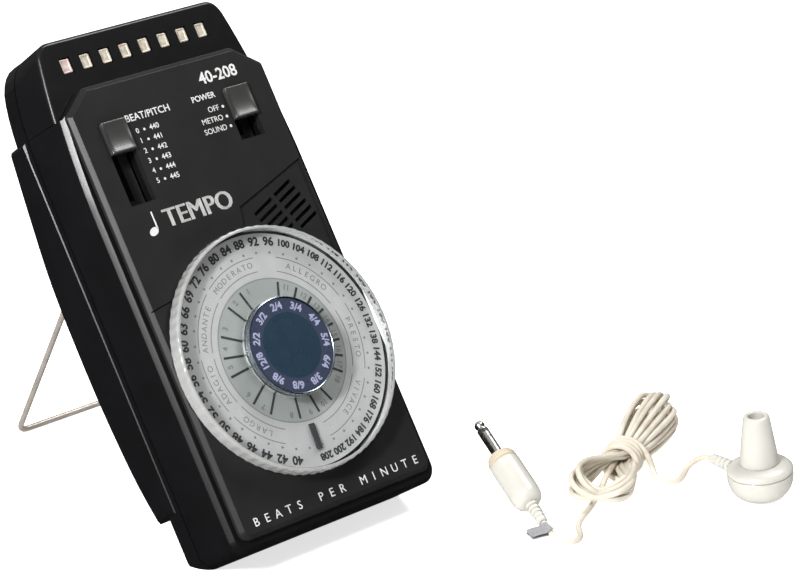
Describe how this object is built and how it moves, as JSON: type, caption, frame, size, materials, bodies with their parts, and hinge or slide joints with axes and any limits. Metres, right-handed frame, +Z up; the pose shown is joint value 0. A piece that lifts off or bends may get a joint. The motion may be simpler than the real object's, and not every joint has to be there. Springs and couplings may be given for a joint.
{
  "type": "dial metronome with corded earphone",
  "caption": "Battery dial metronome leaning on a wire stand: clear tempo wheel, two slide switches, lamp row, speaker slots, and a mono earphone with its cord bound in a hank.",
  "frame": {"origin": "centre of the footprint of the case and its open stand, on the surface they stand on", "axes": "+Z up, -Y towards the user who reads the dial, +X to that user's right, the side with the phone jack"},
  "size_m": [0.1743, 0.1956, 0.137],
  "materials": {
    "case_black": "fine-grained satin black moulding",
    "panel_grey": "semi-matte dark grey front panel",
    "scale_silver": "printed silver-grey dial scale",
    "wheel_clear": "clear acrylic wheel",
    "knob_blue": "dark blue knob face",
    "slider_black": "glossy black switch cap",
    "inner_plastic": "plain black moulding",
    "steel": "plain steel",
    "nickel": "bright nickel plate",
    "board_green": "green circuit board",
    "cone_paper": "treated paper cone",
    "battery_wrap": "printed battery can",
    "lamp_ivory": "ivory diffusing lamp window",
    "ear_white": "warm white moulding",
    "cord_white": "soft warm white cord sheath",
    "tag_grey": "folded grey marker tape",
    "driver_brass": "plain brass can"
  },
  "bodies": {
    "case": {"front_shell": "case_black", "rear_shell": "case_black", "light_cap": "case_black", "front_panel": "panel_grey", "dial_scale": "scale_silver", "rotary_switch": "inner_plastic", "pitch_switch": "inner_plastic", "power_switch": "inner_plastic", "speaker_frame": "steel", "speaker_cone": "cone_paper", "speaker_magnet": "steel", "main_board": "board_green", "quartz_crystal": "steel", "timer_chip": "inner_plastic", "light_board": "board_green", "phone_jack": "inner_plastic", "jack_ring": "nickel", "battery": "battery_wrap", "battery_snap": "inner_plastic", "light_1": "lamp_ivory", "light_2": "lamp_ivory", "light_3": "lamp_ivory", "light_4": "lamp_ivory", "light_5": "lamp_ivory", "light_6": "lamp_ivory", "light_7": "lamp_ivory", "light_8": "lamp_ivory", "low_screw_1": "steel", "low_screw_2": "steel", "top_screw_1": "steel", "top_screw_2": "steel", "stand_clip_left": "inner_plastic", "stand_clip_right": "inner_plastic", "clip_screw_left": "steel", "clip_screw_right": "steel"},
    "dial": {"dial_wheel": "wheel_clear", "knob_cap": "knob_blue", "dial_hub": "inner_plastic", "index_line": "inner_plastic", "dial_shaft": "steel"},
    "pitch_slider": {"pitch_slider": "slider_black"},
    "power_slider": {"power_slider": "slider_black"},
    "battery_door": {"battery_door": "case_black"},
    "stand": {"stand_wire": "nickel"},
    "earphone": {"plug_handle": "ear_white", "plug_sleeve": "nickel", "plug_insulator": "inner_plastic", "plug_tip": "nickel", "plug_relief": "ear_white", "ear_housing": "ear_white", "ear_back": "ear_white", "ear_driver": "driver_brass", "ear_face": "ear_white", "ear_tip": "ear_white", "ear_relief": "ear_white", "cord_hank": "cord_white", "cord_plug_lead": "cord_white", "cord_ear_lead": "cord_white", "cord_tag": "tag_grey"}
  },
  "joints": [
    {"name": "dial_turn", "type": "hinge", "parent": "case", "child": "dial", "pos_m": [0, -0.03748, 0.0537], "axis": [0, -0.8192, 0.5736], "continuous": true},
    {"name": "pitch_slide", "type": "slide", "parent": "case", "child": "pitch_slider", "axis": [0, -0.5736, -0.8192], "range_m": [0, 0.0155]},
    {"name": "power_slide", "type": "slide", "parent": "case", "child": "power_slider", "axis": [0, -0.5736, -0.8192], "range_m": [0, 0.0062]},
    {"name": "battery_door_slide", "type": "slide", "parent": "case", "child": "battery_door", "axis": [0, -0.5736, -0.8192], "range_m": [0, 0.008]},
    {"name": "stand_fold", "type": "hinge", "parent": "case", "child": "stand", "pos_m": [0, 0.02143, 0.07715], "axis": [1, 0, 0], "range_deg": [-63.6, 0]},
    {"name": "earphone_aside", "type": "slide", "parent": "case", "child": "earphone", "axis": [1, 0, 0], "range_m": [0, 0.06]}
  ]
}
